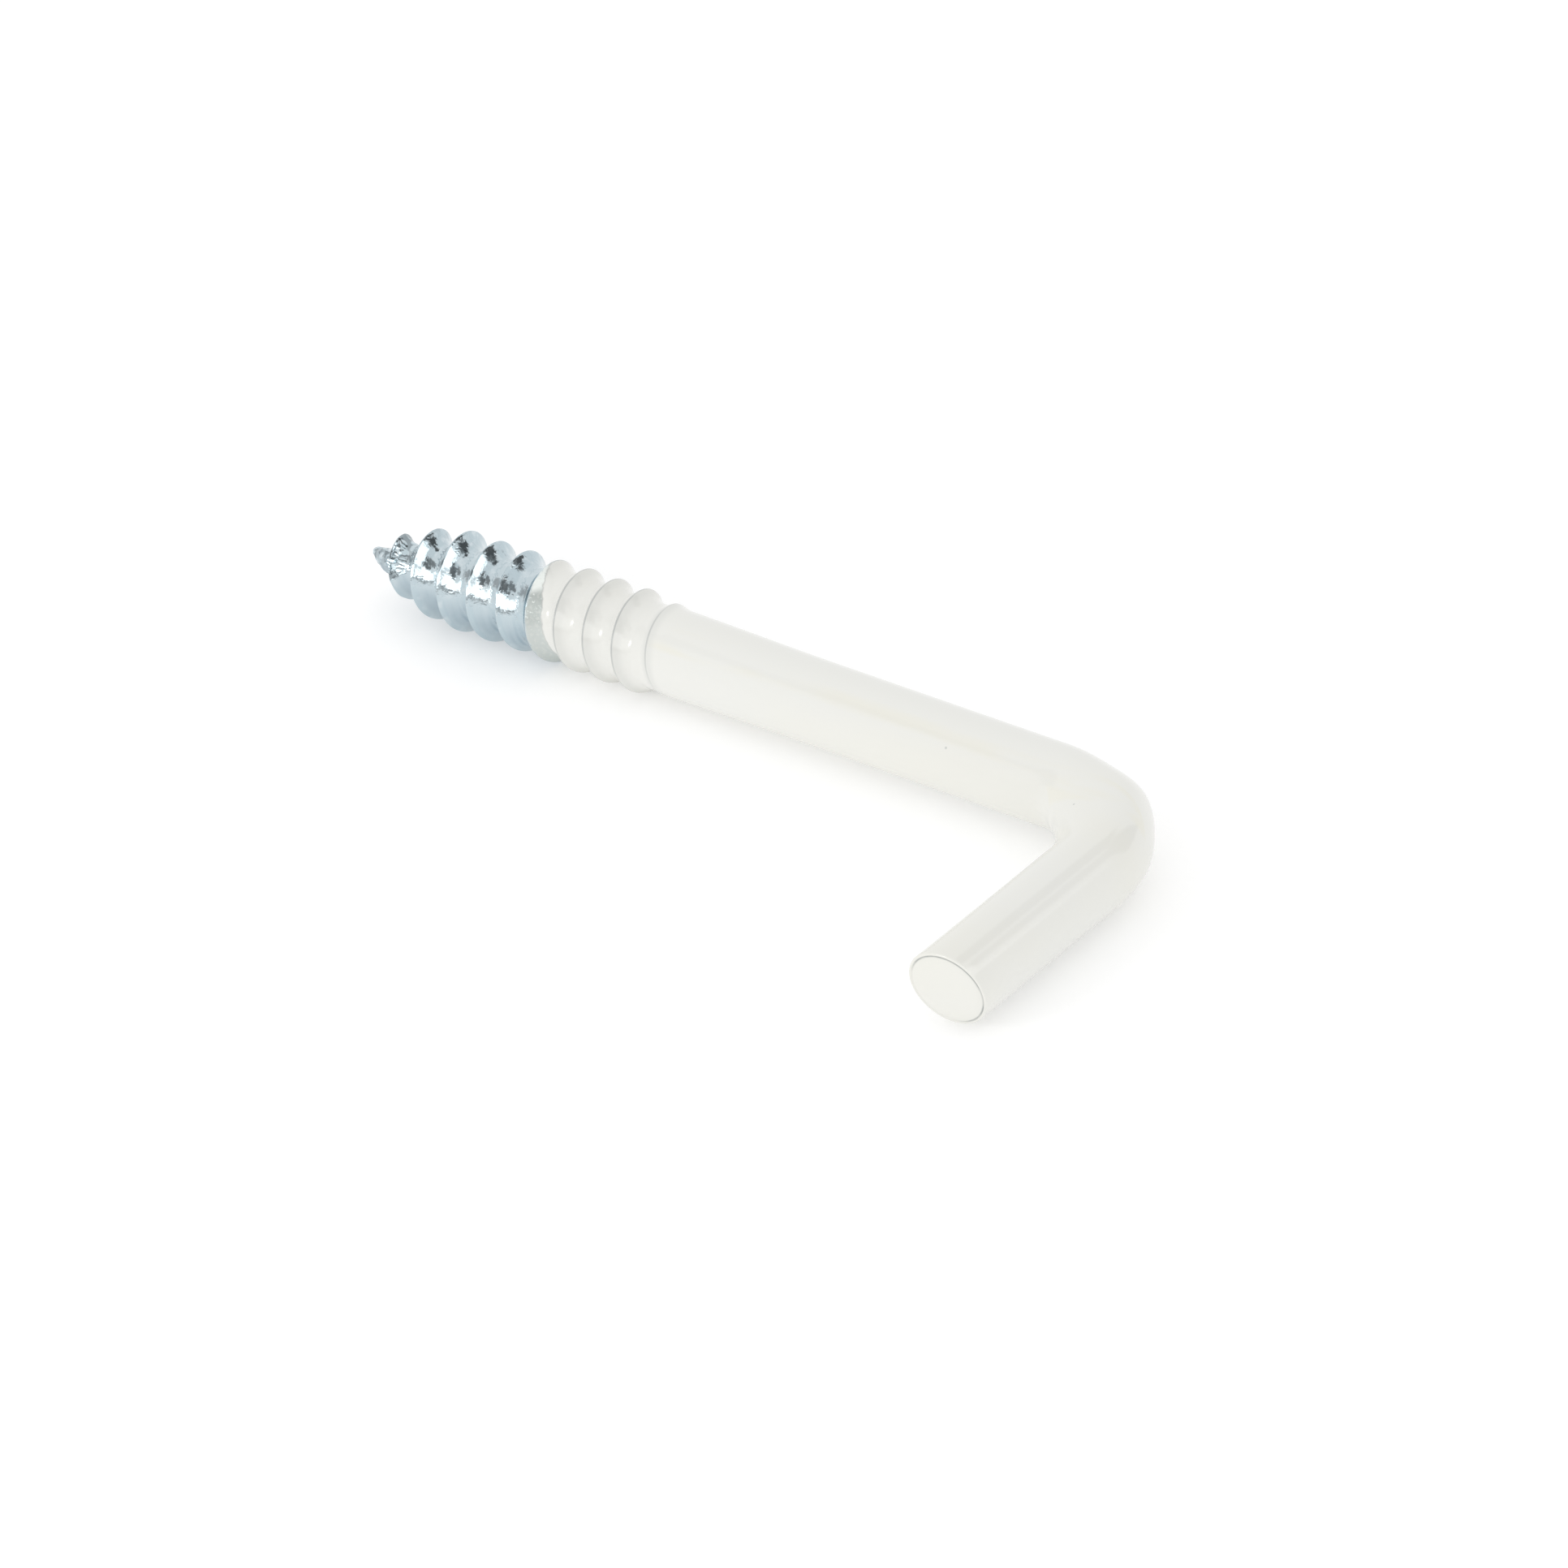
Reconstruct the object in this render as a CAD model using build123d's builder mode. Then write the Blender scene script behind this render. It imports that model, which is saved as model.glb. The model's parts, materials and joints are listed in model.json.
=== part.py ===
# Square screw hook: one steel wire with a wood-screw thread at one end and a straight leg bent at the other.
# Millimetres. It lies flat, with shank and leg in the XY plane and +Z up. The origin is on the shank's axis
# in the wall plane, where the thread runs out. +X points along the screw to its tip, and the leg points to +Y.
import math
import os

from build123d import *

# Wire
wire_diameter = 4.0  # over the coat, in the shank, the bend and the leg
overall_length = 49.4  # from the screw's tip to the outer side of the leg
leg_reach = 17.4  # from the outer side of the shank to the middle of the leg's cut end
bend_radius = 4.8  # of the wire's centre line
cut_angle = 4.5  # by which the sheared end is out of square, both sideways and upwards
end_rounding = 0.23  # on the edge of the cut end

# Screw
thread_length = 18.9  # from the tip to the wall plane
thread_diameter = 4.8  # over the crests
core_diameter = 3.2  # at the bottom of the thread
pitch = 1.8
flank_angle = 30.0  # of each side of the thread, from square to the axis
crest_width = 0.2
crest_offset = 0.5  # from the wall plane to where a crest crosses the shank's upper side
run_out_length = 2.2  # cone from the core up to the wire
ridge_fade = 1.6  # over which the last turn sinks into the wire
tip_length = 4.6  # of the tapered point
tip_diameter = 0.9  # of the blunt end of the point
tip_crest_share = 0.2  # part of the full thread height that is left at the end of the point
seat_depth = 0.15  # by which the thread is rooted below the core's surface
points_per_turn = 16

# Derived sizes
wire_radius = wire_diameter / 2
core_radius = core_diameter / 2
crest_radius = thread_diameter / 2
tip_radius = tip_diameter / 2
thread_height = crest_radius - core_radius
taper_start = thread_length - tip_length
leg_axis = thread_length + wire_radius - overall_length
leg_end = leg_reach - wire_radius
cut_slope = math.tan(math.radians(cut_angle))
cut_allowance = wire_diameter * cut_slope
flank_slope = math.tan(math.radians(flank_angle))
ridge_start = crest_width / 2
ridge_end = thread_length - thread_height * flank_slope - crest_width


def between(place, start, end, start_value, end_value):
    share = min(max((place - start) / (end - start), 0), 1)
    return start_value + share * (end_value - start_value)


def core_at(place):
    if place < taper_start:
        return between(place, 0, run_out_length, wire_radius, core_radius)
    return between(place, taper_start, thread_length, core_radius, tip_radius)


def crest_at(place):
    if place < taper_start:
        return between(place, 0, ridge_fade, wire_radius - seat_depth, crest_radius)
    left_height = between(place, taper_start, thread_length, thread_height, thread_height * tip_crest_share)
    return core_at(place) + left_height


def ridge_section(place):
    # Four corners of the thread's section at one place along the screw: base, crest, crest, base
    turn_angle = math.tau * (place - crest_offset) / pitch
    half_crest = crest_width / 2
    top = crest_at(place)
    half_base = half_crest + (top - core_at(place) + seat_depth) * flank_slope
    corners = []
    for offset, radius in (
        (-half_base, core_at(place - half_base) - seat_depth),
        (-half_crest, top),
        (half_crest, top),
        (half_base, core_at(place + half_base) - seat_depth),
    ):
        corners.append((place + offset, -radius * math.sin(turn_angle), radius * math.cos(turn_angle)))
    return corners


def ridge_turn(start, end):
    # Solid piece of the thread between two places, ruled between the paths of its four corners
    step = (end - start) / points_per_turn
    places = [start + step * index for index in range(points_per_turn + 1)]
    sections = [ridge_section(place) for place in places]
    paths = []
    for corner in range(len(sections[0])):
        paths.append(Edge.make_spline([section[corner] for section in sections], parameters=places))
    faces = [Face.make_surface_from_curves(paths[index - 1], path) for index, path in enumerate(paths)]
    for end_section in (sections[0], sections[-1]):
        faces.append(Face(Wire.make_polygon(end_section, close=True)))
    return Solid(Shell(faces))


# Wire: straight shank, square bend and leg, sheared a little out of square and softened at the cut
with BuildPart() as screw_hook:
    with BuildLine() as centre_line:
        shank = Line((0, 0), (leg_axis + bend_radius, 0))
        bend = RadiusArc(shank @ 1, (leg_axis, bend_radius), bend_radius)
        leg = Line(bend @ 1, (leg_axis, leg_end + cut_allowance))
    with BuildSketch(Plane(origin=shank @ 0, z_dir=shank % 0)) as wire_section:
        Circle(wire_radius)
    sweep(path=centre_line.wire())
    cut_plane = Plane(origin=(leg_axis, leg_end, 0), z_dir=(-cut_slope, 1, -cut_slope))
    split(bisect_by=cut_plane, keep=Keep.BOTTOM)
    cut_edge = screw_hook.faces().sort_by(Axis.Y)[-1].edges()
    fillet(cut_edge, end_rounding)

    # Screw's core: run-out cone, parallel core and tapered point
    with BuildSketch(Plane.XY) as core_profile:
        with BuildLine():
            Polyline(
                (0, 0),
                (0, wire_radius),
                (run_out_length, core_radius),
                (taper_start, core_radius),
                (thread_length, tip_radius),
                (thread_length, 0),
                close=True,
            )
        make_face()
    revolve(axis=Axis.X)

    # Right-hand thread: one ridge that winds from the run-out to the point, a turn at a time
    turn_count = math.ceil((ridge_end - ridge_start) / pitch)
    turn_length = (ridge_end - ridge_start) / turn_count
    turn_starts = [ridge_start + turn_length * turn for turn in range(turn_count)]
    add([ridge_turn(start, start + turn_length) for start in turn_starts])

screw_hook.part.label = "screw_hook"
os.makedirs("parts", exist_ok=True)
export_step(screw_hook.part, "parts/screw_hook.step")
print("screw_hook volume", round(screw_hook.part.volume, 2), "valid", screw_hook.part.is_valid)
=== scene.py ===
import json
import math

import bmesh
import bpy
from mathutils import Matrix, Vector, noise


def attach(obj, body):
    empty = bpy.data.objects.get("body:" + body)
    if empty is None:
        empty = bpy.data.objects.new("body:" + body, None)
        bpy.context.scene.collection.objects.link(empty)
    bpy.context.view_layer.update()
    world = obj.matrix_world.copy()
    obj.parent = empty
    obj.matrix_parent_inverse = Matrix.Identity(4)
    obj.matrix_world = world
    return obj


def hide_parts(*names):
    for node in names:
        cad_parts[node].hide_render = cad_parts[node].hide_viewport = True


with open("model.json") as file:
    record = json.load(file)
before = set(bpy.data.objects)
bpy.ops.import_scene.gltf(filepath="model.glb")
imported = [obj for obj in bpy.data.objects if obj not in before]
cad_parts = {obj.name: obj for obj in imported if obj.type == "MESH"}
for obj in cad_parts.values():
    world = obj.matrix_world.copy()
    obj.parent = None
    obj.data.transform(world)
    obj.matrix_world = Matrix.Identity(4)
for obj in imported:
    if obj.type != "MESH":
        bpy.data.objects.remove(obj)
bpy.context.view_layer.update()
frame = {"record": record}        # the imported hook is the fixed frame
mounts = {mount["name"]: mount for mount in frame["record"]["mounts"]}
mm = 0.001
mergeWithin = 0.002 * mm
cutWithin = 0.001 * mm


def ease(place, start, end):
    share = min(max((place - start) / (end - start), 0), 1)
    return share * share * (3 - 2 * share)


def blend(first, second, share):
    return first + (second - first) * share


# The screw: one section of the thread, wound along the shank's axis
screw = {
    "pitch": 1.8 * mm,
    "crestAt": 0.5 * mm,            # where a crest crosses the upper side, nearest the wall plane
    "crestRadius": 2.44 * mm,       # over the coat
    "bareCrest": 2.38 * mm,
    "bareStretch": 0.03,            # the thread is drawn out by this share past the coat's edge
    "bareCore": 1.68 * mm,
    "coatedCore": 2.0 * mm,         # the coat lies thicker in the roots
    "coatEdge": 7.7 * mm,           # the coat stops at the crest that crosses the upper side here
    "hollow": 1.8,                  # power of the curve from a root up to a crest
    "leadSide": 0.62,               # share of half a pitch that the side towards the point takes
    "finPower": 2.0,                # the ridge sharpens to a fin by this power at the point
    "finStart": 14.5 * mm,
    "crestRounding": 0.09,          # share of the way from crest to root
    "sidePoints": 13,               # on each side of a crest
    "gather": 1.5,                  # draws those points towards the crest
    "stepsPerTurn": 120,
    "turns": 13,
    "firstCrest": -2,               # turns before the crest at crestAt
    "ridgeFade": (0.0 * mm, 1.7 * mm),
    "grooveFade": (0.0 * mm, 1.3 * mm),
    "crestFade": (-1.1 * mm, -0.3 * mm),  # where the line on the crest ends in the shank
    "taperStart": 13.86 * mm,
    "coreTaperStart": 11.8 * mm,
    "coreTaperPower": 0.68,         # the core is blunter than a cone
    "tipEnd": 18.6 * mm,            # before the stretch
    "tipRadius": 0.13 * mm,
    "tipCrest": 0.9 * mm,           # the crests taper towards this radius at the end of the point
    "tipFade": (16.5 * mm, 18.0 * mm),
    "nibFade": (17.3 * mm, 18.1 * mm),  # over which the ridge gives way to a round end
    "nibLength": 0.3 * mm,
    "nibRings": 8,
    "nibPower": 0.3,                # below 1 its end is blunt
    "nibEnd": 0.02,                 # share of its width that is left flat
    "driftTowards": (0.0, 0.67, -0.74),  # the point wanders off the axis this way
    # places and amounts of that, in mm
    "drift": ((7.0, 0.0), (12.4, 0.09), (14.2, 0.06), (16.2, 0.15), (17.7, 0.32), (18.6, 0.22)),
    "slant": 0.4,                   # by which the blunt end is further out on the other side
    "slantLength": 0.5 * mm,
    "crinkle": 0.035 * mm,          # unevenness of the bare metal at the point
    "crinkleSize": 0.25 * mm,
    "crinkleFine": (0.5, 2.3),      # again with this share of it, finer by this
    "crinkleStart": 13.5 * mm,
    "nearSide": math.radians(-48.5),  # of the shank's round that the coat's edge is measured from
    "edgeFollows": 0.33,            # turns to either side over which the coat's edge follows a crest
    "veilWidth": 0.37,              # pitches from the coat's edge over which it is only a thin film
    "veilAbove": 2.2,               # by which that width falls for each turn upwards
    "veilBelow": 0.5,
    "bead": 0.03 * mm,              # the coat's edge beside that film is a little raised
    "beadPlace": -0.14,             # pitches from that edge
    "beadWidth": 0.14,
    "beadReach": 0.2,               # turns to either side
}

# The wire: shank, bend and leg
wire = {
    "radius": mounts["hook_leg"]["dims"]["r_mm"] * mm,
    "swell": 0.08 * mm,             # the shank is a little thicker beside the thread
    "swellLength": 9.0 * mm,
    "legAxis": mounts["hook_leg"]["pos_m"][0],
    "bendArcs": ((9.0 * mm, 18), (3.9 * mm, 54), (7.0 * mm, 18)),  # radius and degrees, from the shank
    "bendStep": 2,                  # degrees
    "web": 0.75 * mm,               # the coat fills the inner corner by this
    "webReach": 3.4 * mm,
    "webHeight": 0.6 * mm,          # of its middle above the wire's axis
    "webStretch": 1.5,              # upwards and downwards
    # the bend is a little flattened outside: place, direction, amount and reach, in mm
    "presses": (
        ((-29.08, 0.53, -0.28), (0.78, 0.61, 0.14), 0.15, 3.2),
        ((-25.42, -1.24, 1.27), (0.19, 0.75, -0.63), 0.09, 3.0),
    ),
    "shankStart": -1.6 * mm,
    "shankRings": 60,
    "legRings": 24,
    "cutMiddle": 15.32 * mm,
    "cutSlopes": (0.12, 0.115),     # of the sheared end, sideways and upwards
    "cutRounding": 0.1 * mm,
    "roundingRings": 7,
    "creaseDepth": 0.035 * mm,      # fine line where the rounding meets the sheared face
    "creaseWidth": 0.065 * mm,
    "faceRings": (0.8, 0.55, 0.3, 0.1),
}


def shankRadius(place):
    return wire["radius"] + wire["swell"] * ease(place, -wire["swellLength"], 0)


def crestRadius(place):
    if place < screw["taperStart"]:
        edge = screw["coatEdge"]
        bare = ease(place, edge - screw["pitch"] / 2, edge)
        crest = blend(screw["crestRadius"], screw["bareCrest"], bare)
        return blend(shankRadius(place), crest, ease(place, *screw["ridgeFade"]))
    share = (place - screw["taperStart"]) / (screw["tipEnd"] - screw["taperStart"])
    radius = blend(screw["bareCrest"], screw["tipCrest"], share)
    return blend(radius, rootRadius(place), ease(place, *screw["tipFade"]))


def rootRadius(place):
    if place < screw["coreTaperStart"]:
        edge = screw["coatEdge"]
        bare = ease(place, edge, edge + screw["pitch"])
        core = blend(screw["coatedCore"], screw["bareCore"], bare)
        return blend(shankRadius(place), core, ease(place, *screw["grooveFade"]))
    share = (place - screw["coreTaperStart"]) / (screw["tipEnd"] - screw["coreTaperStart"])
    left = max(1 - share, 0) ** screw["coreTaperPower"]
    return blend(screw["tipRadius"], screw["bareCore"], left)


def sectionHeight(share):
    # height of the thread's section, from 0 at a root to 1 at a crest, with the crest rounded off
    knee = 1 - screw["crestRounding"]
    slope = screw["hollow"] * knee ** (screw["hollow"] - 1)
    top = knee ** screw["hollow"] + slope * (1 - knee) / 2
    if share < knee:
        return share ** screw["hollow"] / top
    return 1 - slope * (1 - share) ** 2 / (2 * (1 - knee)) / top


def windThread(mesh, heightLayer, offsetLayer):
    half = screw["pitch"] / 2
    start = screw["crestAt"] + screw["firstCrest"] * screw["pitch"]
    points = []
    for index in range(-screw["sidePoints"], screw["sidePoints"] + 1):
        away = (abs(index) / screw["sidePoints"]) ** screw["gather"]
        offset = math.copysign(away * half, index)
        reach = screw["leadSide"] if index > 0 else 1.0
        point = mesh.verts.new((start + offset, 0, screw["crestRadius"]))
        point[heightLayer] = sectionHeight(max(1 - away / reach, 0))
        point[offsetLayer] = offset
        points.append(point)
    edges = [mesh.edges.new(pair) for pair in zip(points, points[1:])]
    bmesh.ops.spin(
        mesh, geom=points + edges, cent=(0, 0, 0), axis=(1, 0, 0), angle=math.tau,
        steps=screw["stepsPerTurn"], dvec=(screw["pitch"] / screw["stepsPerTurn"], 0, 0),
    )
    firstTurn = mesh.verts[:] + mesh.edges[:] + mesh.faces[:]
    for turn in range(1, screw["turns"]):
        copied = bmesh.ops.duplicate(mesh, geom=firstTurn)["geom"]
        copiedPoints = [item for item in copied if isinstance(item, bmesh.types.BMVert)]
        bmesh.ops.translate(mesh, verts=copiedPoints, vec=(turn * screw["pitch"], 0, 0))
    bmesh.ops.remove_doubles(mesh, verts=mesh.verts, dist=mergeWithin)


def shapeThread(mesh, heightLayer, offsetLayer, bareLayer, veilLayer):
    half = screw["pitch"] / 2
    for point in mesh.verts:
        x, y, z = point.co
        crest = x - point[offsetLayer]
        root = crest + math.copysign(half, point[offsetLayer])
        power = blend(1.0, screw["finPower"], ease(crest, screw["finStart"], screw["tipEnd"]))
        radius = blend(rootRadius(root), crestRadius(crest), point[heightLayer] ** power)
        radius = blend(radius, rootRadius(x), ease(x, *screw["nibFade"]))
        turn = math.remainder(math.atan2(-y, z) - screw["nearSide"], math.tau) / math.tau
        if abs(turn) > screw["edgeFollows"]:  # behind, the coat's edge steps over to the next turn
            turn *= (0.5 - abs(turn)) / (0.5 - screw["edgeFollows"])
        edge = screw["coatEdge"] + screw["pitch"] * (turn + screw["nearSide"] / math.tau)
        point[bareLayer] = (x - edge) / screw["pitch"]
        narrowing = screw["veilAbove"] if turn > 0 else screw["veilBelow"]
        point[veilLayer] = point[bareLayer] + screw["veilWidth"] - narrowing * turn
        fromBead = min(abs(point[veilLayer] - screw["beadPlace"]) / screw["beadWidth"], 1)
        beadLeft = max(1 - (turn / screw["beadReach"]) ** 2, 0)
        radius += screw["bead"] * (1 - fromBead ** 2) ** 2 * beadLeft
        point.co.yz = Vector((y, z)).normalized() * radius


def cutLoop(mesh, place, normal):
    # cuts away what lies beyond a plane and returns the edges round the cut
    geometry = mesh.verts[:] + mesh.edges[:] + mesh.faces[:]
    cut = bmesh.ops.bisect_plane(
        mesh, geom=geometry, dist=cutWithin, plane_co=place, plane_no=normal, clear_outer=True,
    )
    return [item for item in cut["geom_cut"] if isinstance(item, bmesh.types.BMEdge)]


def pullLoop(mesh, loop, shift, scale=1.0, centre=(0, 0, 0)):
    # extrudes a loop of edges, moves it and scales it about a point, and returns the new loop
    made = bmesh.ops.extrude_edge_only(mesh, edges=loop)["geom"]
    points = [item for item in made if isinstance(item, bmesh.types.BMVert)]
    bmesh.ops.scale(mesh, verts=points, vec=(scale,) * 3, space=Matrix.Translation(-Vector(centre)))
    bmesh.ops.translate(mesh, verts=points, vec=shift)
    return [item for item in made if isinstance(item, bmesh.types.BMEdge)]


def loopPoints(loop):
    return list({point for edge in loop for point in edge.verts})


def closePoint(mesh):
    place = screw["tipEnd"] - screw["nibLength"]
    loop = cutLoop(mesh, (place, 0, 0), (1, 0, 0))
    radius = rootRadius(place)
    for ring in range(1, screw["nibRings"] + 1):
        turn = ring / screw["nibRings"] * math.pi / 2
        reach = blend(place, screw["tipEnd"], math.sin(turn))
        width = blend(radius, screw["tipRadius"], math.sin(turn))
        width *= max(math.cos(turn), screw["nibEnd"]) ** screw["nibPower"]
        now = loopPoints(loop)[0].co
        scale = width / math.hypot(now.y, now.z)
        loop = pullLoop(mesh, loop, (reach - now.x, 0, 0), scale, (now.x, 0, 0))
    bmesh.ops.edgeloop_fill(mesh, edges=loop)


def bendSize():
    # how far the bend reaches along the shank and along the leg
    run = rise = heading = 0
    for radius, degrees in wire["bendArcs"]:
        turned = heading + math.radians(degrees)
        run += radius * (math.sin(turned) - math.sin(heading))
        rise += radius * (math.cos(heading) - math.cos(turned))
        heading = turned
    return run, rise


def pullWire(mesh):
    start = wire["shankStart"]
    run, rise = bendSize()
    end = wire["legAxis"] + run
    loop = cutLoop(mesh, (start, 0, 0), (-1, 0, 0))
    step = (end - start) / wire["shankRings"]
    for ring in range(wire["shankRings"]):
        place = start + step * ring
        scale = shankRadius(place + step) / shankRadius(place)
        loop = pullLoop(mesh, loop, (step, 0, 0), scale, (place, 0, 0))
    place = Vector((end, 0, 0))
    heading = 0
    for radius, degrees in wire["bendArcs"]:
        inward = Vector((math.sin(heading), math.cos(heading), 0))
        centre = place + inward * radius
        angle = math.radians(degrees)
        spun = bmesh.ops.spin(
            mesh, geom=loop + loopPoints(loop), cent=centre, axis=(0, 0, 1), angle=-angle,
            steps=round(degrees / wire["bendStep"]),
        )
        loop = [item for item in spun["geom_last"] if isinstance(item, bmesh.types.BMEdge)]
        heading += angle
        place = centre - Vector((math.sin(heading), math.cos(heading), 0)) * radius
    length = wire["cutMiddle"] + wire["radius"] - rise
    for ring in range(wire["legRings"]):
        loop = pullLoop(mesh, loop, (0, length / wire["legRings"], 0))


def pushSurface(mesh, centre, shift, reach, stretch=1.0):
    # moves the surface near a place, and less further from it
    for point in mesh.verts:
        away = point.co - centre
        away.z /= stretch
        share = max(1 - (away.length / reach) ** 2, 0)
        point.co += shift * share ** 3


def fillCorner(mesh):
    # the coat has pooled in the bend's inner corner
    inward = Vector((1, 1, 0)).normalized()
    heading = math.radians(45)
    first, middle = wire["bendArcs"][0], wire["bendArcs"][1]
    turned = math.radians(first[1])
    run, rise = bendSize()
    corner = Vector((wire["legAxis"] + run, 0, 0))
    corner.x -= first[0] * math.sin(turned) + middle[0] * (math.sin(heading) - math.sin(turned))
    corner.y += first[0] * (1 - math.cos(turned)) + middle[0] * (math.cos(turned) - math.cos(heading))
    corner += inward * wire["radius"]
    corner.z = wire["webHeight"]
    pushSurface(mesh, corner, inward * wire["web"], wire["webReach"], wire["webStretch"])


def pressBend(mesh):
    for place, towards, amount, reach in wire["presses"]:
        pushSurface(mesh, Vector(place) * mm, Vector(towards) * amount * mm, reach * mm)


def shearLeg(mesh, rimLayer):
    normal = Vector((-wire["cutSlopes"][0], 1, -wire["cutSlopes"][1])).normalized()
    face = Vector((wire["legAxis"], wire["cutMiddle"], 0))
    rounding = wire["cutRounding"]
    radius = wire["radius"]
    centre = face - normal * rounding
    loop = cutLoop(mesh, centre, normal)
    for ring in range(1, wire["roundingRings"] + 1):
        before = (ring - 1) / wire["roundingRings"] * math.pi / 2
        turn = ring / wire["roundingRings"] * math.pi / 2
        outer = radius - rounding * (1 - math.cos(before))
        inner = radius - rounding * (1 - math.cos(turn))
        shift = normal * rounding * (math.sin(turn) - math.sin(before))
        loop = pullLoop(mesh, loop, shift, inner / outer, centre)
        centre = centre + shift
    edgeRadius = radius - rounding
    for depth, rim in ((-wire["creaseDepth"], 1.0), (wire["creaseDepth"], 0.0)):
        scale = (edgeRadius - wire["creaseWidth"]) / edgeRadius
        loop = pullLoop(mesh, loop, normal * depth, scale, centre)
        centre = centre + normal * depth
        edgeRadius -= wire["creaseWidth"]
        for point in loopPoints(loop):
            point[rimLayer] = rim
    now = 1.0
    for ring in wire["faceRings"]:
        loop = pullLoop(mesh, loop, (0, 0, 0), ring / now, centre)
        now = ring
    bmesh.ops.edgeloop_fill(mesh, edges=loop)


def driftAt(place):
    amount = 0
    for (start, startAmount), (end, endAmount) in zip(screw["drift"], screw["drift"][1:]):
        amount += (endAmount - startAmount) * mm * ease(place, start * mm, end * mm)
    return amount


def bendPoint(mesh):
    # draws out the bare thread a little, slants its blunt end and bends its point off the axis
    towards = Vector(screw["driftTowards"])
    for point in mesh.verts:
        place = point.co.x
        if place > screw["coatEdge"]:
            nearEnd = ease(place, screw["tipEnd"] - screw["slantLength"], screw["tipEnd"])
            point.co.x -= screw["slant"] * nearEnd * towards.dot(point.co)
            point.co.x += screw["bareStretch"] * (place - screw["coatEdge"])
        point.co += towards * driftAt(place)


def crinklePoint(mesh):
    mesh.normal_update()
    share, finer = screw["crinkleFine"]
    for point in mesh.verts:
        amount = ease(point.co.x, screw["crinkleStart"], screw["tipEnd"])
        if amount > 0:
            spot = point.co / screw["crinkleSize"]
            rough = noise.noise(spot) + share * noise.noise(spot * finer)
            point.co += point.normal * rough * amount * screw["crinkle"]


def makeHook():
    mesh = bmesh.new()
    heightLayer = mesh.verts.layers.float.new("crest")
    offsetLayer = mesh.verts.layers.float.new("crestOffset")
    bareLayer = mesh.verts.layers.float.new("bare")
    veilLayer = mesh.verts.layers.float.new("veil")
    rimLayer = mesh.verts.layers.float.new("rim")
    windThread(mesh, heightLayer, offsetLayer)
    shapeThread(mesh, heightLayer, offsetLayer, bareLayer, veilLayer)
    closePoint(mesh)
    pullWire(mesh)
    for point in mesh.verts:
        point[heightLayer] *= ease(point.co.x, *screw["crestFade"])
    fillCorner(mesh)
    pressBend(mesh)
    shearLeg(mesh, rimLayer)
    bmesh.ops.recalc_face_normals(mesh, faces=mesh.faces)
    crinklePoint(mesh)
    bendPoint(mesh)
    for face in mesh.faces:
        face.smooth = True
    data = bpy.data.meshes.new("wireHook")
    mesh.to_mesh(data)
    mesh.free()
    hook = bpy.data.objects.new("wireHook", data)
    bpy.context.scene.collection.objects.link(hook)
    return hook


# Shader nodes
def addNode(tree, kind, sockets=None, **settings):
    made = tree.nodes.new(kind)
    for name, value in settings.items():
        setattr(made, name, value)
    for socket, value in (sockets or {}).items():
        if isinstance(value, bpy.types.NodeSocket):
            tree.links.new(value, made.inputs[socket])
        else:
            made.inputs[socket].default_value = value
    return made


def calc(tree, operation, first, second, third=0.0):
    sockets = {0: first, 1: second, 2: third}
    return addNode(tree, "ShaderNodeMath", sockets, operation=operation).outputs[0]


def vectorCalc(tree, operation, first, second):
    return addNode(tree, "ShaderNodeVectorMath", {0: first, 1: second}, operation=operation).outputs


def product(tree, first, *others):
    for other in others:
        first = calc(tree, "MULTIPLY", first, other)
    return first


def remap(tree, value, low, high, lowTo=0.0, highTo=1.0):
    sockets = {"Value": value, "From Min": low, "From Max": high, "To Min": lowTo, "To Max": highTo}
    return addNode(tree, "ShaderNodeMapRange", sockets, interpolation_type="SMOOTHSTEP").outputs["Result"]


def mixColour(tree, share, first, second):
    sockets = {0: share, 6: first, 7: second}
    return addNode(tree, "ShaderNodeMix", sockets, data_type="RGBA").outputs[2]


def mixValue(tree, share, first, second):
    return addNode(tree, "ShaderNodeMix", {0: share, 2: first, 3: second}, data_type="FLOAT").outputs[0]


def cloud(tree, place, size, detail, stretch=(1, 1, 1)):
    scale = [part / size for part in stretch]
    scaled = addNode(tree, "ShaderNodeMapping", {"Vector": place, "Scale": scale})
    sockets = {"Vector": scaled.outputs[0], "Scale": 1.0, "Detail": detail}
    return addNode(tree, "ShaderNodeTexNoise", sockets).outputs["Fac"]


def attribute(tree, name):
    return addNode(tree, "ShaderNodeAttribute", attribute_name=name).outputs["Fac"]


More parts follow.
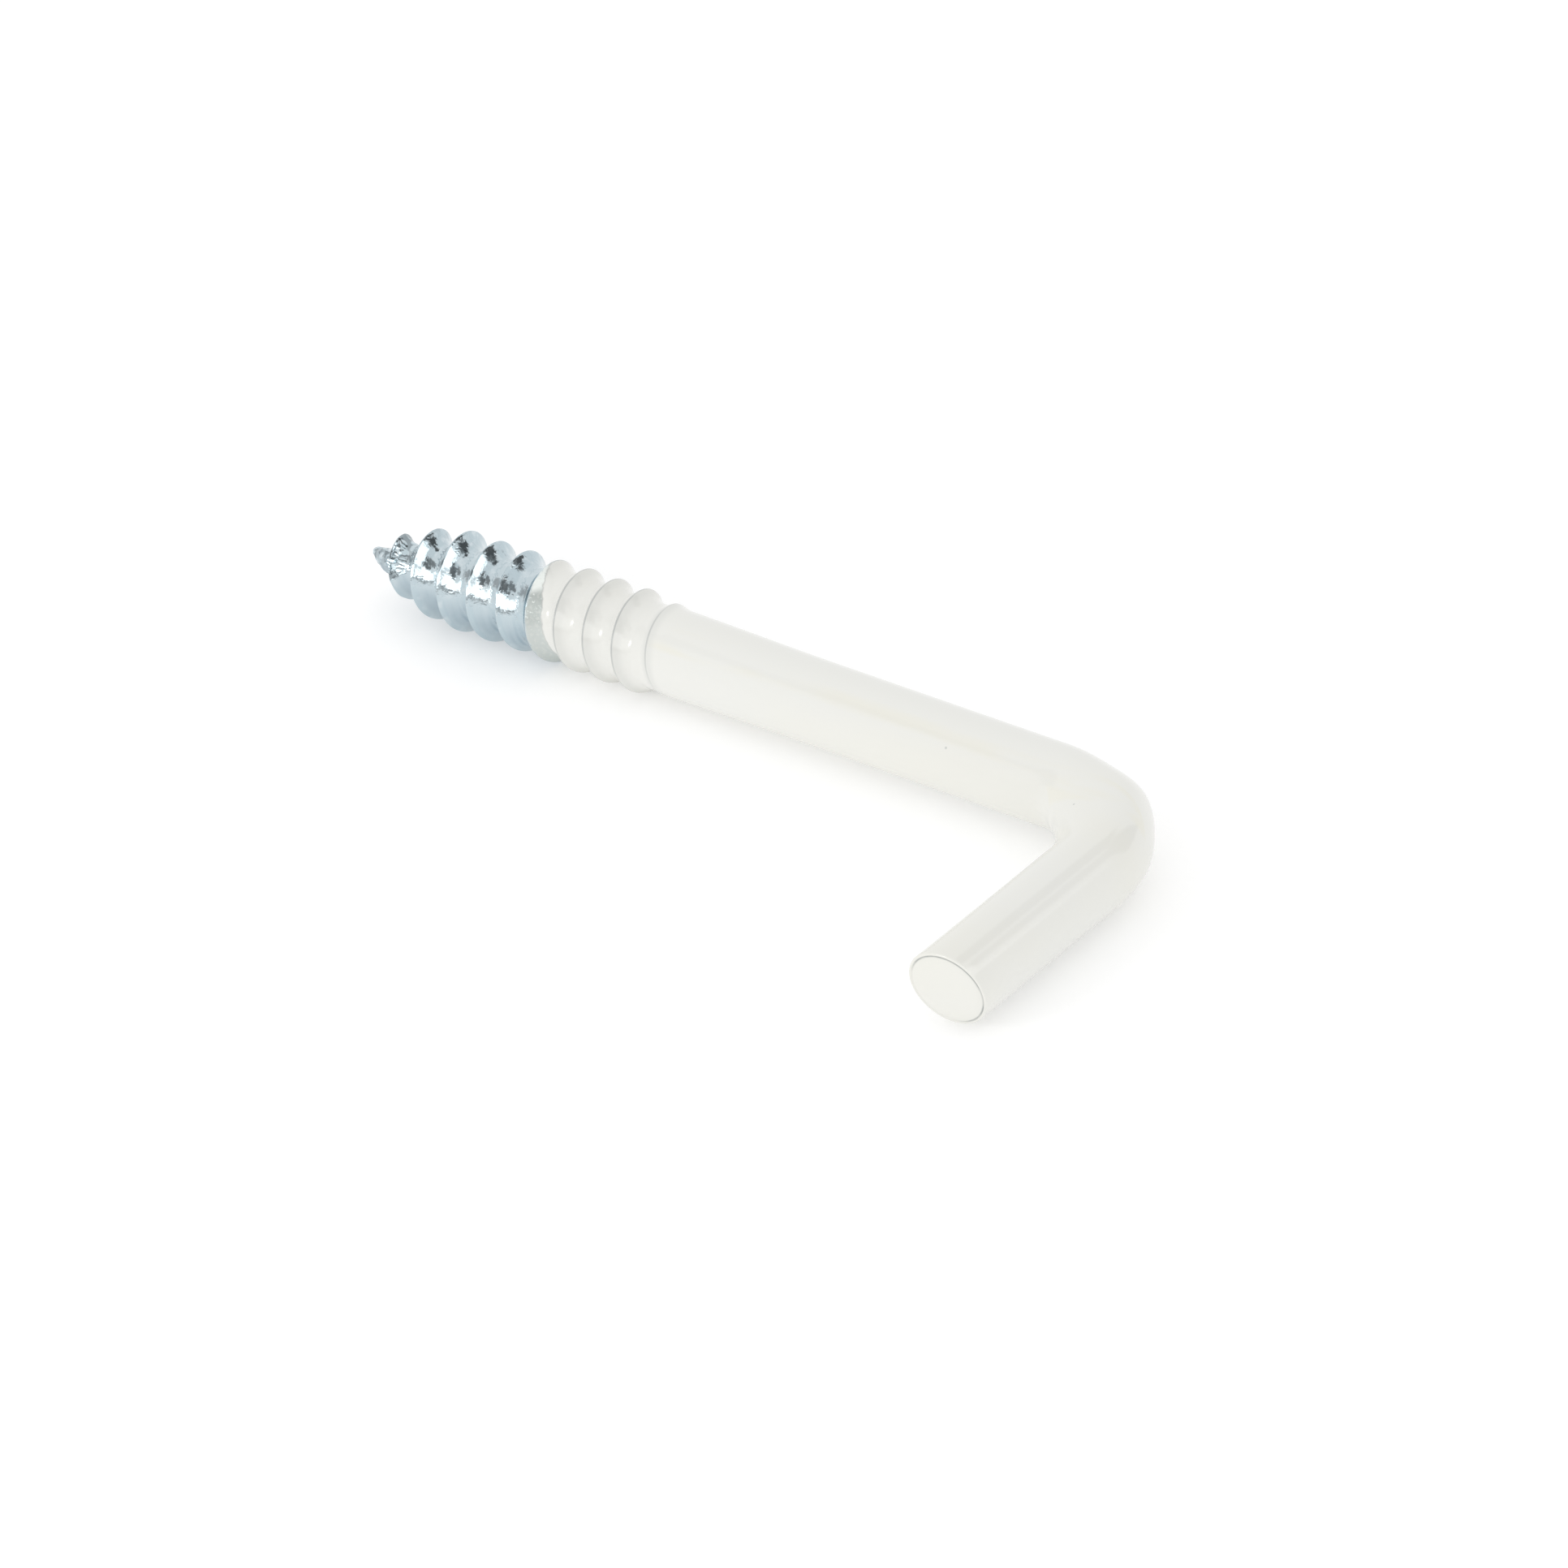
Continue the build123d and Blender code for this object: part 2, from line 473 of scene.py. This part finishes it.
# Finishes: a glossy coat, a thin film of it beside its edge, and bare zinc towards the point
# A range is two inputs and, where they aren't 0 and 1, the two values that they give
# A cloud is the size of its patches, its detail and, where they are drawn out, the scale of each axis
coat = {
    "colour": (0.80, 0.80, 0.765, 1),
    "creamColour": (0.80, 0.79, 0.72, 1),
    "thinCoatAndShadeColour": (0.45, 0.47, 0.46, 1),         # where the coat is thin, on crests, at the film's edge and in specks; on crests and their flanks it is partly painted shade
    "creaseShadeColour": (0.30, 0.32, 0.31, 1),          # painted shade in the crease round the cut
    "roughness": 0.12,
    "warmCloud": (6.0 * mm, 2.0, (0.3, 1, 1)),   # of creamy patches
    "warm": (0.4, 0.7, 0.0, 0.5),
    "bandFacing": (0, 0.56, 0.83),               # the shank's creamy band lies on this side of it
    "bandOut": (1.92 * mm, 2.02 * mm),           # how far out from the axis it starts
    "bandBeforeLeg": (2.6 * mm, 2.2 * mm),
    "bandBeforeScrew": (0.6 * mm, -0.6 * mm),
    "bandCloud": (1.5 * mm, 2.0, (0.2, 1, 1)),
    "bandPatches": (0.35, 0.6),
    "crestLine": (0.9, 0.985),                   # height at which a crest's line starts; the line is partly thin coat and partly painted shade along the crest's edge
    "crestLineAlong": (0, 1.5 * mm, 0.65, 0.9),  # it is fainter on the first turn, below and behind
    "crestLineUp": (-1.5 * mm, 1.5 * mm, 0.5, 1.0),
    "crestLineAcross": (-0.5 * mm, 0.7 * mm, 0.55, 1.0),
    # greyer towards the crests: partly the thinner coat, partly painted shade on the flanks
    "crestShadeAndThinCoat": (0.1, 0.75, 0.0, 0.18),
    "creaseShadeFacing": (-0.75, 0, 0.65),               # the painted shade round the cut shows on this side of it
    "rimOut": (-1.3 * mm, 0.2 * mm),
    "rimCloud": (0.9 * mm, 2.0),
    "rimPatches": (0.3, 0.6, 0.5, 1.0),
    "specks": ((-17.715, 1.52, 1.298), (-26.095, 2.639, 1.613), (-29.91, 15.12, -1.0)),  # mm
    "speck": (0.09 * mm, 0.03 * mm, 0.0, 0.6),   # from its rim to its middle
    "peelCloud": (0.6 * mm, 1.0),
    "peel": 0.0015 * mm,
}
film = {
    "colour": (0.58, 0.62, 0.60, 1),
    # painted dark reflection, at mid height
    "darkColour": (0.46, 0.50, 0.48, 1),
    # painted reflection of a bright light, at the top
    "paleColour": (0.86, 0.90, 0.87, 1),
    "roughness": 0.4,
    "wanderCloud": (0.25 * mm, 2.0),             # for its ragged edge
    "wander": 0.1,
    "edge": (-0.02, 0.03),
    "line": ((-0.05, -0.01), (0.05, 0.0, 0.0, 0.5)),  # grey line along its edge, from both sides
    "mottleCloud": (0.2 * mm, 3.0),
    # painted glints, above the film's lowest part
    "paintedSparkle": (0.58, 0.70, 0.0, 0.7),
    "paintedSparkleUp": (-0.2 * mm, 0.7 * mm),
    "paintedReflectionUp": (1.7 * mm, 2.0 * mm),
    "darkReflectionUp": (0.2 * mm, 0.9 * mm),
    "cover": (0.35, 0.5, 0.75, 1.0),
    "zincShows": (-1.6 * mm, 0.6 * mm, 0.5, 0.08),  # through the film, most of all below
}
zinc = {
    "colour": (0.525, 0.625, 0.67, 1),
    "darkColour": (0.22, 0.26, 0.28, 1),
    "paleColour": (0.61, 0.69, 0.725, 1),
    # painted shade: the upper side a little darker
    "upperShadeColour": (0.49, 0.583, 0.627, 1),
    "flankShadeColour": (0.32, 0.42, 0.49, 1),        # painted shade on the lower side, between crests and roots, deeper further down
    "lumpHighlightColour": (0.86, 0.91, 0.93, 1),        # painted highlights in the middles of small lumps of zinc at the point
    "wanderCloud": (0.4 * mm, 3.0),              # for the coat's ragged edge
    "wander": 0.2,
    "edge": (-0.05, 0.05),
    "upper": (0.8 * mm, 1.2 * mm),
    "patchCloud": (0.5 * mm, 4.0),
    "palePatches": (0.5, 0.7),
    "darkPatches": (0.34, 0.24),
    "darkInRoots": (0.6, 0.2),
    "flankBelowCrest": (0.85, 0.5),
    "flankAboveRoot": (0.0, 0.2, 0.6, 1.0),
    "flankDown": (0.5 * mm, -0.6 * mm, 0.0, 0.75),
    "flankLowest": (-1.7 * mm, -1.1 * mm, 0.4, 1.0),
    "bandCloud": (0.35 * mm, 1.0, (1, 0.12, 0.12)),  # of pale bands along the turns
    "bands": (0.4, 0.62, 0.0, 0.5),
    "fleckSize": 0.38 * mm,
    "fleckSpread": 1.6,
    "fleckAlong": (14.6 * mm, 16.2 * mm),
    "fleckLean": 0.4,                            # they lie above a plane that leans by this
    "fleckAbove": (6.2 * mm, 6.6 * mm),
    # painted highlights in the lumps' middles and painted shade in the seams between them
    "lumpHighlight": (0.75, 0.35),
    "lumpHighlightAlong": (16.6 * mm, 18.0 * mm, 0.0, 0.7),
    "seamShade": (0.78, 1.0, 0.0, 0.8),
    "fleck": 0.035 * mm,
    "roughCloud": (0.3 * mm, 3.0),
    "roughness": (0.3, 0.7, 0.04, 0.17),
    "dentCloud": (0.3 * mm, 3.0),
    "dent": 0.02 * mm,
    "waveCloud": (0.8 * mm, 1.0),
    "wave": 0.014 * mm,
    "streakCloud": (0.11 * mm, 2.0, (1, 0.06, 0.06)),  # marks that rolling left along the turns
    "streak": 0.004 * mm,
    "foldCloud": (0.3 * mm, 1.0, (1, 0.1, 0.1)),  # coarser ones on the last full turn
    "foldAlong": (13.4 * mm, 14.4 * mm),
    "fold": 0.05 * mm,
}


def along(tree, place, facing):
    # how far a point lies out in a direction
    return vectorCalc(tree, "DOT_PRODUCT", place, facing)["Value"]


def wander(tree, place, finish):
    # noise to both sides of zero
    amount = finish["wander"]
    return calc(tree, "MULTIPLY_ADD", cloud(tree, place, *finish["wanderCloud"]), amount, -amount / 2)


def readSurface(tree):
    place = addNode(tree, "ShaderNodeTexCoord").outputs["Object"]
    part = addNode(tree, "ShaderNodeSeparateXYZ", {0: place}).outputs
    x, y, z = part["X"], part["Y"], part["Z"]
    offset = attribute(tree, "crestOffset")
    rolled = addNode(tree, "ShaderNodeCombineXYZ", {"X": offset, "Y": y, "Z": z}).outputs[0]
    return {"place": place, "x": x, "y": y, "z": z, "rolled": rolled, "crest": attribute(tree, "crest")}


def paintCoat(tree, surface):
    place = surface["place"]
    warmth = remap(tree, cloud(tree, place, *coat["warmCloud"]), *coat["warm"])
    band = product(
        tree,
        remap(tree, along(tree, place, coat["bandFacing"]), *coat["bandOut"]),
        remap(tree, surface["y"], *coat["bandBeforeLeg"]),
        remap(tree, surface["x"], *coat["bandBeforeScrew"]),
        remap(tree, cloud(tree, place, *coat["bandCloud"]), *coat["bandPatches"]),
    )
    colour = mixColour(tree, calc(tree, "MAXIMUM", warmth, band), coat["colour"], coat["creamColour"])

    # crest lines and greying towards the crests: partly thin coat, partly painted shade
    line = product(
        tree,
        remap(tree, surface["crest"], *coat["crestLine"]),
        remap(tree, surface["x"], *coat["crestLineAlong"]),
        remap(tree, surface["z"], *coat["crestLineUp"]),
        remap(tree, surface["y"], *coat["crestLineAcross"]),
    )
    line = calc(tree, "MAXIMUM", line, remap(tree, surface["crest"], *coat["crestShadeAndThinCoat"]))
    colour = mixColour(tree, line, colour, coat["thinCoatAndShadeColour"])

    # painted shade in the crease round the cut, on one side only
    fromLeg = vectorCalc(tree, "SUBTRACT", place, (wire["legAxis"], 0, 0))["Vector"]
    rim = product(
        tree,
        attribute(tree, "rim"),
        remap(tree, along(tree, fromLeg, coat["creaseShadeFacing"]), *coat["rimOut"]),
        remap(tree, cloud(tree, place, *coat["rimCloud"]), *coat["rimPatches"]),
    )
    colour = mixColour(tree, rim, colour, coat["creaseShadeColour"])

    for spot in coat["specks"]:
        away = vectorCalc(tree, "DISTANCE", place, Vector(spot) * mm)["Value"]
        colour = mixColour(tree, remap(tree, away, *coat["speck"]), colour, coat["thinCoatAndShadeColour"])
    return colour


def paintFilm(tree, surface, veil, veilMask, coatColour):
    # the coat's colour, with its grey edge and the film beyond that
    fromCoat, fromFilm = film["line"]
    edge = product(tree, remap(tree, veil, *fromCoat), remap(tree, veil, *fromFilm))
    coatColour = mixColour(tree, edge, coatColour, coat["thinCoatAndShadeColour"])

    z = surface["z"]
    mottle = cloud(tree, surface["place"], *film["mottleCloud"])
    # painted glints, a painted dark reflection at mid height and a painted pale reflection at the top
    paintedSparkle = product(tree, remap(tree, mottle, *film["paintedSparkle"]), remap(tree, z, *film["paintedSparkleUp"]))
    paleReflection = calc(tree, "MAXIMUM", remap(tree, z, *film["paintedReflectionUp"]), paintedSparkle)
    colour = mixColour(tree, remap(tree, z, *film["darkReflectionUp"]), film["colour"], film["darkColour"])
    colour = mixColour(tree, paleReflection, colour, film["paleColour"])
    share = product(tree, veilMask, remap(tree, mottle, *film["cover"]))
    return mixColour(tree, share, coatColour, colour)


def findFlecks(tree, surface):
    # distance from the middle of a fleck, and where on the point flecks are
    sockets = {"Vector": surface["place"], "Scale": 1 / zinc["fleckSize"]}
    distance = addNode(tree, "ShaderNodeTexVoronoi", sockets).outputs["Distance"]
    spread = calc(tree, "MULTIPLY", distance, zinc["fleckSpread"])
    leaning = calc(tree, "MULTIPLY_ADD", surface["x"], zinc["fleckLean"], surface["z"])
    above = remap(tree, leaning, *zinc["fleckAbove"])
    atPoint = product(tree, remap(tree, surface["x"], *zinc["fleckAlong"]), above)
    return calc(tree, "MINIMUM", spread, 1.0), atPoint


def paintZinc(tree, surface, fleck, atPoint):
    z, crest = surface["z"], surface["crest"]
    patches = cloud(tree, surface["place"], *zinc["patchCloud"])
    # painted shade: darker on the upper side
    colour = mixColour(tree, remap(tree, z, *zinc["upper"]), zinc["colour"], zinc["upperShadeColour"])
    colour = mixColour(tree, remap(tree, patches, *zinc["palePatches"]), colour, zinc["paleColour"])
    inRoots = remap(tree, crest, *zinc["darkInRoots"])
    dark = product(tree, remap(tree, patches, *zinc["darkPatches"]), inRoots)
    colour = mixColour(tree, dark, colour, zinc["darkColour"])

    # painted highlights in the lumps' middles and painted shade in the seams between them
    lumpHighlight = product(tree, remap(tree, fleck, *zinc["lumpHighlight"]), remap(tree, surface["x"], *zinc["lumpHighlightAlong"]))
    colour = mixColour(tree, lumpHighlight, colour, zinc["lumpHighlightColour"])
    seamShade = product(tree, remap(tree, fleck, *zinc["seamShade"]), atPoint)
    colour = mixColour(tree, seamShade, colour, zinc["darkColour"])

    # painted shade on the lower flanks, darker further down
    flankShade = product(
        tree,
        remap(tree, crest, *zinc["flankBelowCrest"]),
        remap(tree, crest, *zinc["flankAboveRoot"]),
        remap(tree, z, *zinc["flankDown"]),
        remap(tree, z, *zinc["flankLowest"]),
    )
    colour = mixColour(tree, flankShade, colour, zinc["flankShadeColour"])
    bands = cloud(tree, surface["rolled"], *zinc["bandCloud"])
    return mixColour(tree, remap(tree, bands, *zinc["bands"]), colour, zinc["paleColour"])


def dentZinc(tree, surface, fleck, atPoint):
    # height of the bare metal: dents, rolling marks, waves, folds and flecks
    place, rolled = surface["place"], surface["rolled"]
    height = calc(tree, "MULTIPLY", cloud(tree, place, *zinc["dentCloud"]), zinc["dent"])
    streaks = cloud(tree, rolled, *zinc["streakCloud"])
    height = calc(tree, "MULTIPLY_ADD", streaks, zinc["streak"], height)
    height = calc(tree, "MULTIPLY_ADD", cloud(tree, place, *zinc["waveCloud"]), zinc["wave"], height)
    foldHeight = calc(tree, "MULTIPLY", remap(tree, surface["x"], *zinc["foldAlong"]), zinc["fold"])
    folds = cloud(tree, rolled, *zinc["foldCloud"])
    height = calc(tree, "MULTIPLY_ADD", folds, foldHeight, height)
    return calc(tree, "MULTIPLY_ADD", product(tree, fleck, fleck, atPoint), -zinc["fleck"], height)


def hookMaterial():
    made = bpy.data.materials.new("coatedSteel")
    made.use_nodes = True
    tree = made.node_tree
    shader = tree.nodes["Principled BSDF"]
    surface = readSurface(tree)
    place = surface["place"]

    ragged = wander(tree, place, zinc)
    bareMask = remap(tree, calc(tree, "ADD", attribute(tree, "bare"), ragged), *zinc["edge"])
    ragged = wander(tree, place, film)
    veil = calc(tree, "ADD", attribute(tree, "veil"), ragged)
    veilMask = remap(tree, veil, *film["edge"])
    fleck, atPoint = findFlecks(tree, surface)

    colour = paintFilm(tree, surface, veil, veilMask, paintCoat(tree, surface))
    colour = mixColour(tree, bareMask, colour, paintZinc(tree, surface, fleck, atPoint))
    tree.links.new(colour, shader.inputs["Base Color"])

    showing = product(tree, veilMask, remap(tree, surface["z"], *film["zincShows"]))
    tree.links.new(calc(tree, "MAXIMUM", bareMask, showing), shader.inputs["Metallic"])

    coatRough = mixValue(tree, veilMask, coat["roughness"], film["roughness"])
    zincRough = remap(tree, cloud(tree, place, *zinc["roughCloud"]), *zinc["roughness"])
    tree.links.new(mixValue(tree, bareMask, coatRough, zincRough), shader.inputs["Roughness"])

    peel = calc(tree, "MULTIPLY", cloud(tree, place, *coat["peelCloud"]), coat["peel"])
    dents = dentZinc(tree, surface, fleck, atPoint)
    height = mixValue(tree, calc(tree, "MAXIMUM", bareMask, veilMask), peel, dents)
    bump = addNode(tree, "ShaderNodeBump", {"Height": height, "Strength": 1.0, "Distance": 1.0})
    tree.links.new(bump.outputs[0], shader.inputs["Normal"])
    return made


hook = makeHook()
hook.data.materials.append(hookMaterial())
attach(hook, "root")
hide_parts("screw_hook")
print("hook modelled,", len(hook.data.polygons), "faces")

# Studio: pale floor, soft light and the photograph's view
studio = {
    "floorSize": 3.0,
    "floorColour": (0.82, 0.82, 0.82, 1),
    "floorGlow": 0.25,
    "floorSheen": 0.85,             # share of that glow that gloss sees
    "worldLight": 0.96,
    "cardDistance": 0.5,
    "lampDistance": 0.45,
    # azimuth, elevation, width and height in degrees, and brightness beside the white background
    "softboxes": {
        "stripLamp": (161, 26.5, 18, 10, 6.5),
    },
    "cards": {                      # only gloss sees these
        "frontCard": (-133, 26, 52, 27, 2.2),
        "leftCard": (177, 26, 48, 25, 1.8),
        "frontLine": (-133, 8.5, 52, 7, 0.45),
        "leftLine": (177, 8.5, 48, 7, 0.45),
        "sideCard": (-72, 34, 40, 22, 2.1),
        "backFlag": (-29, 28, 22, 28, 0.12),
        "highFlag": (-16, 49.5, 18, 14, 0.12),
        "sideFlag": (-39, 38, 12, 11, 0.25),
        "gapFlag": (-112, 46, 44, 18, 0.2),
        "topFlag": (-145, 66, 40, 16, 0.3),
        "leftFlag": (112, 38, 26, 30, 0.5),
    },
}
view = {                            # lengths in mm, angles in degrees
    "aim": (-11.639, 6.153, 0.0),
    "azimuth": -136.65,
    "elevation": 33.348,
    "roll": -7.731,
    "distance": 455.93,
    "lens": 227.035,
    "nearest": 10.0,                # what is nearer to the camera isn't drawn
}


def direction(azimuth, elevation):
    azimuth, elevation = math.radians(azimuth), math.radians(elevation)
    flat = math.cos(elevation)
    return Vector((math.sin(azimuth) * flat, -math.cos(azimuth) * flat, math.sin(elevation)))


def facing(away):
    # turn of a lamp, card or camera that stands off in this direction and looks back
    return (-away).to_track_quat("-Z", "Y").to_matrix().to_4x4()


def makeStage(name, mesh, material):
    data = bpy.data.meshes.new(name)
    mesh.to_mesh(data)
    mesh.free()
    data.materials.append(material)
    piece = bpy.data.objects.new(name, data)
    bpy.context.scene.collection.objects.link(piece)
    return piece


def makeFloor():
    mesh = bmesh.new()
    bmesh.ops.create_grid(mesh, x_segments=1, y_segments=1, size=studio["floorSize"] / 2)
    lowest = min(point.co.z for point in hook.data.vertices)
    bmesh.ops.translate(mesh, verts=mesh.verts, vec=(0, 0, lowest))
    made = bpy.data.materials.new("paleFloor")
    made.use_nodes = True
    shader = made.node_tree.nodes["Principled BSDF"]
    shader.inputs["Base Color"].default_value = studio["floorColour"]
    shader.inputs["Roughness"].default_value = 1.0
    shader.inputs["Specular IOR Level"].default_value = 0.0
    shader.inputs["Emission Strength"].default_value = studio["floorGlow"]
    tree = made.node_tree
    path = addNode(tree, "ShaderNodeLightPath")
    glow = mixValue(tree, path.outputs["Is Glossy Ray"], 1.0, studio["floorSheen"])
    tree.links.new(glow, shader.inputs["Emission Color"])
    makeStage("floor", mesh, made)


def makeCards():
    distance = studio["cardDistance"]
    for name, (azimuth, elevation, width, height, brightness) in studio["cards"].items():
        made = bpy.data.materials.new(name)
        made.use_nodes = True
        shader = made.node_tree.nodes["Principled BSDF"]
        shader.inputs["Base Color"].default_value = (0, 0, 0, 1)
        shader.inputs["Specular IOR Level"].default_value = 0.0
        shader.inputs["Emission Color"].default_value = (1, 1, 1, 1)
        shader.inputs["Emission Strength"].default_value = brightness
        away = direction(azimuth, elevation)
        mesh = bmesh.new()
        bmesh.ops.create_grid(mesh, x_segments=1, y_segments=1, size=distance)
        span = (math.tan(math.radians(width / 2)), math.tan(math.radians(height / 2)), 1)
        bmesh.ops.scale(mesh, verts=mesh.verts, vec=span)
        place = Matrix.Translation(away * distance) @ facing(away)
        bmesh.ops.transform(mesh, verts=mesh.verts, matrix=place)
        card = makeStage(name, mesh, made)
        card.visible_camera = False
        card.visible_diffuse = False
        card.visible_shadow = False
        card.visible_transmission = False


def makeSoftboxes():
    distance = studio["lampDistance"]
    for name, (azimuth, elevation, width, height, brightness) in studio["softboxes"].items():
        away = direction(azimuth, elevation)
        light = bpy.data.lights.new(name, "AREA")
        light.shape = "RECTANGLE"
        light.size = 2 * distance * math.tan(math.radians(width / 2))
        light.size_y = 2 * distance * math.tan(math.radians(height / 2))
        light.energy = brightness * math.pi * light.size * light.size_y
        lamp = bpy.data.objects.new(name, light)
        bpy.context.scene.collection.objects.link(lamp)
        lamp.matrix_world = Matrix.Translation(away * distance) @ facing(away)
        lamp.visible_camera = False


def makeWorld():
    world = bpy.data.worlds.new("studio")
    bpy.context.scene.world = world
    world.use_nodes = True
    tree = world.node_tree
    back = tree.nodes["Background"]
    back.inputs["Color"].default_value = (1, 1, 1, 1)
    path = addNode(tree, "ShaderNodeLightPath")
    seen = calc(tree, "MAXIMUM", path.outputs["Is Camera Ray"], path.outputs["Is Glossy Ray"])
    seen = calc(tree, "MAXIMUM", seen, path.outputs["Is Transmission Ray"])
    tree.links.new(mixValue(tree, seen, studio["worldLight"], 1.0), back.inputs["Strength"])


def makeCamera():
    away = direction(view["azimuth"], view["elevation"])
    camera = bpy.data.objects.new("camera", bpy.data.cameras.new("camera"))
    bpy.context.scene.collection.objects.link(camera)
    camera.data.lens = view["lens"]
    camera.data.clip_start = view["nearest"] * mm
    place = (Vector(view["aim"]) + away * view["distance"]) * mm
    roll = Matrix.Rotation(math.radians(view["roll"]), 4, "Z")
    camera.matrix_world = Matrix.Translation(place) @ facing(away) @ roll
    bpy.context.scene.camera = camera


makeFloor()
makeCards()
makeSoftboxes()
makeWorld()
makeCamera()
bpy.context.scene.view_settings.view_transform = "Standard"
print("studio set")
